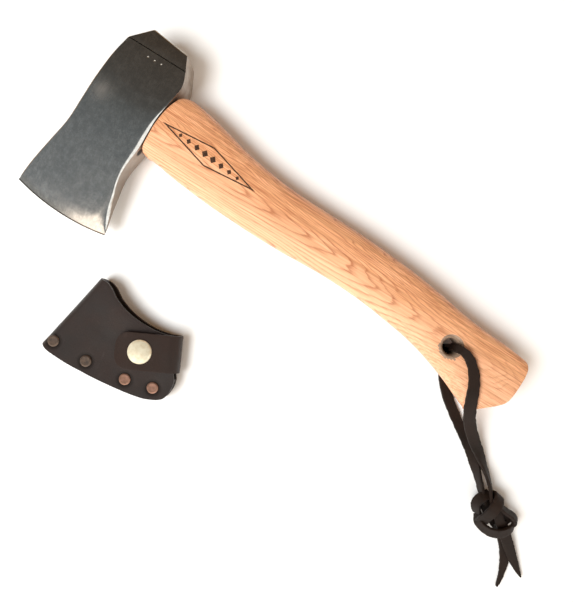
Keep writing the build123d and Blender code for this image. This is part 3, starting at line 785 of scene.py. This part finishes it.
def ribbon_points(route, width, thickness, seed, side=(0, 1, 0), twist=(), taper=(), facing=()):
    """Rings of a flat thong along the route.  side is its width direction at the start, or facing
    gives the way that its flat face looks at even steps of its length.
    twist and taper are (share of length, degrees) and (share of length, width factor)."""
    line = spline_points(route)
    tangents = np.gradient(line, axis=0)
    tangents /= np.linalg.norm(tangents, axis=1, keepdims=True)
    reach = np.concatenate([[0], np.cumsum(np.linalg.norm(np.diff(line, axis=0), axis=1))])
    share = reach / reach[-1]
    turned = smooth_through(twist)(share) if twist else np.zeros(len(line))
    narrow = smooth_through(taper)(share) if taper else np.ones(len(line))
    across = Vector(side)
    rings = []
    for i, (place, tangent) in enumerate(zip(line, tangents)):
        tangent = Vector(tangent)
        if facing:
            stations = np.linspace(0, 1, len(facing))
            look = Vector([np.interp(share[i], stations, [f[axis] for f in facing]) for axis in range(3)])
            across = look.cross(tangent)
        across = (across - tangent * across.dot(tangent)).normalized()
        spun = across.copy()
        spun.rotate(Matrix.Rotation(math.radians(float(turned[i])), 3, tangent))
        up = tangent.cross(spun)
        for a, b in THONG_SECTION:
            fray = noise.noise(Vector((reach[i] * 0.9, a * 3 + seed, 0.3))) * FRAY
            fray += noise.noise(Vector((reach[i] * 0.25, a * 2 + seed, 5))) * FRAY * 1.5
            out = a * (width / 2 * float(narrow[i]))
            if abs(a) > 0.8:
                out += math.copysign(1, a) * fray
            lift = b * thickness / 2 + (fray * 0.25)
            rings.append(Vector(place) + spun * out + up * lift)
    return np.array(rings), line


def ribbon(name, route, width, thickness, seed, **shape):
    """A single flat thong as one mesh piece; returns it and the line that it follows."""
    points, line = ribbon_points(route, width, thickness, seed, **shape)
    piece = make_object(name, points, tube_faces(len(line), len(THONG_SECTION)),
                        "hatchet", "thong_leather", THONG)
    shade_by_angle(piece, 50)
    return piece, line


THONG_W, THONG_T, TAIL_T = 6.6, 2.0, 1.8
UPPER_ROUTE = [(243, -20.4, 12.5), (243.2, -20.3, 17), (243.6, -20, 22), (245.4, -19.8, 24.7),
               (251, -20.2, 23.8), (257.6, -24.6, 23.3), (263.4, -32, 23.2), (266.8, -41, 23.1),
               (271.8, -49.4, 19.5), (279.2, -56.2, 12.8), (289, -62.8, 7.6), (298.8, -69.4, 5.8),
               (307.8, -76.4, 6), (314.2, -83.6, 7.4), (317.4, -89, 8)]
LOWER_ROUTE = [(241.9, -20, 12.6), (241.8, -20.6, 7), (242.6, -21.8, 2.6), (245.6, -26.8, 1.4),
               (251, -36, 1.4), (257.2, -43.8, 1.8), (264.8, -50.2, 1.8), (273.2, -56.2, 1.8),
               (282.2, -62, 1.8), (291, -68.4, 2.8), (298.6, -75.2, 4), (304.8, -81.6, 4.8),
               (310.6, -87.4, 5), (315, -92, 5)]
TAIL_LONG = [(329, -97, 4.6), (336, -102.8, 2.6), (341.8, -108, 1.3), (346, -114.2, 1.1),
             (348.6, -120.6, 1.1), (350.4, -126.6, 1.1), (351.2, -132.8, 1.1)]
TAIL_SHORT = [(329.8, -96, 5.8), (337.4, -102, 4.4), (343.8, -107.4, 3.2), (350.2, -112.4, 2),
              (355.8, -116.2, 1.3), (361, -119.8, 1.1)]


def build_lanyard():
    """The thong: its knot and two tails first, then the strands that come from the hole."""
    knot = build_knot()
    tails = [ribbon("lanyard_tail_a", TAIL_LONG, THONG_W, TAIL_T, 3, side=(0.7, 0.7, 0),
                    taper=[(0, 1), (0.45, 1), (0.62, 0.85), (0.8, 0.55), (0.93, 0.34), (1, 0.12)])[0],
             ribbon("lanyard_tail_b", TAIL_SHORT, THONG_W, TAIL_T, 8, side=(0.7, 0.7, 0),
                    taper=[(0, 1), (0.55, 1), (0.75, 0.75), (0.92, 0.38), (1, 0.12)])[0]]
    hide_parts("lanyard_tail_long")
    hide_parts("lanyard_tail_short")
    upper, upper_line = ribbon("lanyard_strand_upper", UPPER_ROUTE, THONG_W, THONG_T, 1,
                               taper=[(0, 0.7), (0.12, 0.8), (0.25, 1), (1, 1)],
                               twist=[(0, 0), (0.5, 0), (0.66, -8), (0.82, -62), (1, -80)])
    lower, lower_line = ribbon("lanyard_strand_lower", LOWER_ROUTE, THONG_W, THONG_T, 5,
                               side=(0.85, 0.5, 0),
                               twist=[(0, 0), (0.58, 0), (0.72, 18), (0.84, 66), (1, 80)])
    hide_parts("lanyard_upper", "lanyard_bight")
    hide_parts("lanyard_lower")


# Each band of the knot: its width, its route, and the way that its face looks along it.
KNOT_BANDS = [
    (6.4, [(313.5, -85, 7), (310.2, -88, 8.6), (308.8, -92.5, 8.4), (310.4, -96.8, 6.8),
           (314.6, -99, 5)],
     [(0.1, 0.9, 0.5), (-0.6, 0.5, 0.7), (-0.8, 0, 0.7), (-0.6, -0.6, 0.6), (-0.2, -0.9, 0.3)]),
    (7, [(317.2, -85.4, 3), (318.6, -82.6, 5.4), (319, -82.8, 9.4), (319.2, -87, 12.4),
           (318.2, -93, 12.8), (317.6, -98.4, 10.8), (318.4, -102.6, 7), (320, -103.6, 3)],
     [(0.2, 0.9, -0.4), (0.2, 1, 0.1), (0.1, 0.7, 0.7), (0, 0.1, 1), (0, 0, 1),
      (-0.1, -0.3, 1), (-0.2, -1, 0.1)]),
    (6.8, [(316.4, -99.6, 3.4), (316, -103, 6.4), (321.2, -105, 8.4), (327.6, -104.2, 9.2),
           (333.4, -101.2, 8.4), (337, -96.6, 6.6), (337.6, -92, 4.8), (334, -89.4, 3.4)],
     [(-0.9, 0.3, 0.2), (-0.3, -0.7, 0.6), (-0.2, -0.6, 0.8), (-0.1, -0.5, 0.9), (0.3, -0.3, 0.9),
      (0.8, 0.2, 0.5), (0.3, 0.9, 0.2)]),
    (6.4, [(319, -84.6, 5.6), (323.4, -88, 7.6), (328.6, -88.8, 7.8), (334.4, -88.8, 7.4),
           (338.4, -91.4, 6), (337, -96, 4.4)],
     [(0.3, 0.9, 0.3), (0.2, 0.9, 0.4), (0.3, 0.9, 0.4), (0.9, 0.4, 0.4), (0.7, -0.7, 0.3)]),
    (6.2, [(318.6, -86.6, 5.8), (322.6, -90.8, 7.8), (326.6, -94.6, 7.8), (330.6, -98.2, 6.4),
           (334.4, -101, 4.2)], [(0.1, 0.1, 1), (0.1, 0.1, 1)]),
    (9, [(314, -88, 3.2), (320, -93.6, 3), (326, -96.6, 3), (332.6, -98.8, 3)],
     [(0, 0, 1), (0, 0, 1)]),
    (6, [(325, -90.6, 4.6), (330, -92.4, 4.6), (334.6, -94.6, 4.2)],
     [(0, 0.1, 1), (0, 0.1, 1)]),
]


def build_knot():
    """Overhand knot tied in both strands: bands that wrap and cross over each other."""
    points, faces = [], []
    for seed, (width, route, facing) in enumerate(KNOT_BANDS, start=11):
        ring, line = ribbon_points(route, width, THONG_T, seed, facing=facing)
        faces += [tuple(len(points) + i for i in face) for face in tube_faces(len(line), len(THONG_SECTION))]
        points += list(ring)
    knot = make_object("lanyard_knot_tied", points, faces, "hatchet", "thong_leather", THONG)
    shade_by_angle(knot, 50)
    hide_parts("lanyard_knot")
    return knot


# ---- blade cover
LEATHER_T = 2.5
FRONT_MID = 8.75  # middle of the front panel, over a pocket of 5 mm
FOLD = np.array([(27, -152.4), (37.4, -98.8)])
MOUTH = [(37.4, -98.8), (44.4, -98.9), (48, -100.4), (52, -103), (61, -106.6), (74, -108.6),
         (90, -107), (98.6, -103.8)]
FOOT = [(27, -152.4), (31, -154), (40, -154.8), (60, -154.2), (78, -152.3), (90, -150.4),
        (101, -147.6), (106.4, -145)]
RIGHT = [(106.4, -145), (109.6, -142.2), (110.9, -137), (109.6, -129), (106.4, -124.4),
         (103, -115), (98.6, -103.8)]
RIVET_PULL, RIVET_PULL_REACH = 0.75, 4.3  # how far a rivet draws the panel in, and how far around
ROUNDING = 0.45  # of the cut edges


def panel_plan(u, v):
    """Plan point of the cover: u from the fold to the right side, v from the foot to the mouth."""
    fold = FOLD[0] + (FOLD[1] - FOLD[0]) * v
    right = even_points(RIGHT, np.array([v]))[0]
    foot = even_points(FOOT, np.array([u]))[0]
    mouth = even_points(MOUTH, np.array([u]))[0]
    corners = ((1 - u) * (1 - v) * FOLD[0] + u * (1 - v) * np.array(FOOT[-1])
               + (1 - u) * v * FOLD[1] + u * v * np.array(MOUTH[-1]))
    return (1 - u) * fold + u * right + (1 - v) * foot + v * mouth - corners


def front_height(x, y, v):
    """Height of the front panel's middle surface: filled over the pocket, pulled in at rivets."""
    share = (x - FOLD[1][0]) / (MOUTH[-1][0] - FOLD[1][0])
    belly = math.exp(-((share - 0.30) / 0.28) ** 2)
    swell = 0.9 * ease(0.25, 0.7, v) + (0.4 + 2.4 * belly) * ease(0.55, 1, v)
    z = FRONT_MID + swell + 0.25 * noise.noise(Vector((x * 0.05, y * 0.05, 1)))
    for rx, ry in RIVETS:
        z -= RIVET_PULL * math.exp(-((x - rx) ** 2 + (y - ry) ** 2) / RIVET_PULL_REACH ** 2)
    return z


def build_cover():
    """Back panel, fold and front panel as one bent sheet of leather."""
    inset = FRONT_MID / 2
    fold_along = (FOLD[1] - FOLD[0]) / np.linalg.norm(FOLD[1] - FOLD[0])
    inward = np.array((fold_along[1], -fold_along[0]))
    us = np.linspace(0, 1, 100)
    grid = []
    for v in np.linspace(0, 1, 70):
        flat = np.array([panel_plan(u, v) for u in us])
        from_fold = (flat - FOLD[0]) @ inward
        centre = np.array([np.interp(inset, from_fold, flat[:, i]) for i in (0, 1)])
        beyond = flat[from_fold > inset]
        outermost = FOLD[0] + (FOLD[1] - FOLD[0]) * v + inward * LEATHER_T / 2
        rise = (front_height(*centre, v) - LEATHER_T / 2) / 2
        back = [(x, y, LEATHER_T / 2) for x, y in beyond[::-1]]
        front = [(x, y, front_height(x, y, v)) for x, y in beyond]
        arc = []
        for lean in np.radians(np.linspace(-90, 90, 17)):
            spot = centre + (outermost - centre) * math.cos(lean)
            arc.append((*spot, LEATHER_T / 2 + rise + math.sin(lean) * rise))
        grid.append(even_rows(back, 84) + arc + even_rows(front, 84))
    points, faces = slab(np.array(grid), LEATHER_T - 0.05)
    cover = make_object("cover_leather_body", points, faces, "cover", "cover_leather", LEATHER)
    round_edges(cover, ROUNDING)
    shade_by_angle(cover, 40)
    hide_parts("cover_body")


def even_rows(points, count):
    """The same line with a fixed number of points."""
    points = np.array(points, float)
    reach = np.concatenate([[0], np.cumsum(np.linalg.norm(np.diff(points[:, :2], axis=0), axis=1))])
    at = np.linspace(0, reach[-1], count)
    return [tuple(np.interp(a, reach, points[:, i]) for i in range(3)) for a in at]


STRAP_OUT = math.radians(26.2)  # the way that the strap's fold faces
STRAP_WIDTH = 23.0
STRAP_REACH = 40.0  # from the outside of its fold to its free end
STRAP_CORNER = 8.5
STRAP_STEM = 9.0  # length that lies in the back panel
STRAP_DROOP = 1.1  # of the free end
FOLD_AT = np.array((104.9, -113))  # middle of the fold's outermost line
STRAP_TOP = 14.7  # height of the strap's upper face


def build_strap():
    """From inside the back panel, round the side, over the front panel to the free end."""
    radius = (STRAP_TOP - LEATHER_T) / 2
    centre_in = STRAP_TOP / 2
    line = [(-d, LEATHER_T / 2 + 0.1) for d in np.linspace(centre_in + STRAP_STEM, centre_in, 8)[:-1]]
    for lean in np.radians(np.linspace(-90, 90, 30)):
        line.append((-centre_in + math.cos(lean) * radius, STRAP_TOP / 2 + math.sin(lean) * radius))
    for reach in np.linspace(centre_in, STRAP_REACH, 44)[1:]:
        droop = STRAP_DROOP * ease(28, STRAP_REACH, reach)
        line.append((-reach, STRAP_TOP - LEATHER_T / 2 - droop))
    outward = np.array((math.cos(STRAP_OUT), math.sin(STRAP_OUT)))
    along = np.array((math.sin(STRAP_OUT), -math.cos(STRAP_OUT)))
    grid = []
    for u, z in line:
        over = z > STRAP_TOP / 2
        to_end = STRAP_REACH + u if over else STRAP_CORNER
        short = max(0, STRAP_CORNER - to_end)
        half = STRAP_WIDTH / 2 - STRAP_CORNER + math.sqrt(max(STRAP_CORNER ** 2 - short ** 2, 0))
        row = []
        for q in np.linspace(-1, 1, 36):
            spot = FOLD_AT + outward * u + along * half * q
            ripple = 0.16 * noise.noise(Vector((u * 1.1, q * 0.4, 2))) * math.exp(-((u + 3) / 7) ** 2)
            row.append((spot[0] + outward[0] * ripple, spot[1] + outward[1] * ripple, z + ripple * 0.6))
        grid.append(row)
    points, faces = slab(np.array(grid), LEATHER_T - 0.1)
    strap = make_object("cover_strap", points, faces, material=STRAP_LEATHER)
    round_edges(strap, ROUNDING)
    shade_by_angle(strap, 40)
    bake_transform(strap)
    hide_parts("strap")


RIVET_TOP = 10.6
RIVET_PROFILE = [(0, 0.3), (1.5, 0.3), (1.5, 8.4), (3.1, 8.4), (3.6, 9.2), (3.66, 9.8), (3.5, 10.25),
                 (3.1, RIVET_TOP - 0.08), (2.7, RIVET_TOP), (2.2, RIVET_TOP - 0.10), (0, RIVET_TOP - 0.02)]
CAP_PROFILE = [(0, -0.4), (6.9, -0.4), (7.4, -0.1), (7.5, 0.25), (7.35, 0.6), (6.8, 0.95), (5.8, 1.3),
               (4.3, 1.6), (2.4, 1.82), (0, 1.9)]


def build_fittings():
    """Four rivet heads, the two nearest the fold tarnished, and the snap's domed cap."""
    for number, at in enumerate(RIVETS, start=1):
        material = COPPER_DARK if number < 3 else COPPER_BRIGHT
        head = lathe(f"rivet_copper_{number}", RIVET_PROFILE, at, 48, "cover", "copper", material)
        shade_by_angle(head, 35)
        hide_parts(f"rivet_{number}")
    profile = [(radius, STRAP_TOP + rise) for radius, rise in CAP_PROFILE]
    cap = lathe("snap_cap_dome", profile, SNAP_AT, 64, "flap", "snap_metal", SNAP)
    shade_by_angle(cap, 50)
    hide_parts("snap_cap")


def dress_cad_nodes():
    """Procedural materials on the CAD nodes that stay visible."""
    finishes = {"wood_wedge": WEDGE_WOOD, "steel_wedge": WEDGE_STEEL, "snap_spring": WEDGE_STEEL,
                "welt": LEATHER, "snap_socket": SNAP, "snap_stud": SNAP, "snap_eyelet": SNAP}
    finishes.update({f"burr_{number}": COPPER_DARK for number in (1, 2, 3, 4)})
    for node, material in finishes.items():
        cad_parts[node].data.materials.clear()
        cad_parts[node].data.materials.append(material)


# ---- stage, light, camera
CAMERA_AT = (142.8, -50.2, 350)
CAMERA_TURN = math.radians(32)
FOCAL_SHARE = 550.0 / 603.0  # focal length over the frame's long side
FLOOR_HALF = 3.0  # metres
FLOOR_Z = -0.0003  # metres; a hair below the object, so that nothing flickers
LIT_POINT = (140, -40, 10)  # middle of the object, where the key light looks
KEY_WAY = (-0.36, -0.45, 0.82)
KEY_FROM = 1.1  # metres
KEY_SIZE, KEY_POWER = 0.66, 13.4
# Pale panels beside the object: the way to each, its brightness, and the cosines of its inner and outer rim.
SIDE_PANELS = [((0.78, -0.10, 0.62), (1.8, 1.72, 1.6), 0.965, 0.93),
               ((0.50, -0.72, 0.50), (1.9, 1.8, 1.65), 0.94, 0.90)]


def build_camera():
    """Looks straight down, turned so that the handle runs across the frame."""
    data = bpy.data.cameras.new("camera")
    data.lens = data.sensor_width * FOCAL_SHARE
    camera = bpy.data.objects.new("camera", data)
    camera.location = [c * MM for c in CAMERA_AT]
    camera.rotation_euler = (0, 0, CAMERA_TURN)
    data.clip_start = 0.01
    bpy.context.scene.collection.objects.link(camera)
    bpy.context.scene.camera = camera


def build_floor():
    """A pale matt floor."""
    mesh = bpy.data.meshes.new("floor")
    corners = [(-1, -1), (1, -1), (1, 1), (-1, 1)]
    mesh.from_pydata([(x * FLOOR_HALF, y * FLOOR_HALF, 0) for x, y in corners], [], [(0, 1, 2, 3)])
    g = Graph("pale_floor")
    mesh.materials.append(g.finish(base_color=(0.93, 0.925, 0.91, 1), roughness=0.9, specular_ior_level=0.1))
    floor = bpy.data.objects.new("floor", mesh)
    floor.location.z = FLOOR_Z
    bpy.context.scene.collection.objects.link(floor)


def build_key():
    """A round soft light; the metal reflects the room's panels instead of it."""
    data = bpy.data.lights.new("key", "AREA")
    data.shape = "DISK"
    data.size = KEY_SIZE
    data.energy = KEY_POWER
    data.color = (0.90, 0.96, 1)
    light = bpy.data.objects.new("key", data)
    way = Vector(KEY_WAY).normalized()
    light.location = Vector(LIT_POINT) * MM + way * KEY_FROM
    light.rotation_mode = "QUATERNION"
    light.rotation_quaternion = way.to_track_quat("Z", "Y")
    light.visible_glossy = False
    bpy.context.scene.collection.objects.link(light)


def build_world():
    """A studio room: grey overhead, brown behind, a warm band all round, pale panels, a pale horizon."""
    world = bpy.data.worlds.new("studio")
    bpy.context.scene.world = world
    g = Graph("studio", world)
    x, y, z = g.axes(g.place)
    half_y = g.plus(g.times(y, 0.5), 0.5)
    overhead = g.ramp(half_y, [(0.30, (0.33, 0.345, 0.35)), (0.44, (0.205, 0.215, 0.215)),
                               (0.54, (0.15, 0.155, 0.15)), (0.60, (0.085, 0.064, 0.047)),
                               (0.70, (0.075, 0.055, 0.040))])
    band = g.ramp(z, [(0.45, 1), (0.68, 0)])
    low_room = g.ramp(half_y, [(0.22, (0.34, 0.33, 0.31)), (0.42, (0.70, 0.36, 0.12))])
    room = g.mix(band, overhead, low_room)
    low = g.ramp(half_y, [(0.27, 1), (0.305, 0)])
    inside = g.times(low, g.ramp(g.math("ABSOLUTE", x), [(0.31, 1), (0.37, 0)]))
    room = g.mix(inside, room, (2.5, 2.1, 1.75))
    for way, colour, inner, outer in SIDE_PANELS:
        toward = g.add("ShaderNodeVectorMath", operation="DOT_PRODUCT")
        g.feed(toward.inputs[0], g.place)
        toward.inputs[1].default_value = Vector(way).normalized()
        room = g.mix(g.ramp(toward.outputs["Value"], [(outer, 0), (inner, 1)]), room, colour)
    room = g.mix(g.ramp(z, [(0.20, 1), (0.28, 0)]), room, (0.84, 0.83, 0.81))
    g.feed(g.shader.inputs["Color"], room)


def build_stage():
    build_floor()
    build_world()
    build_key()
    bpy.context.scene.view_settings.view_transform = "Standard"
    bpy.context.scene.view_settings.look = "None"


build_camera()
build_lanyard()
build_head()
build_handle()
build_cover()
build_strap()
build_fittings()
dress_cad_nodes()
build_stage()
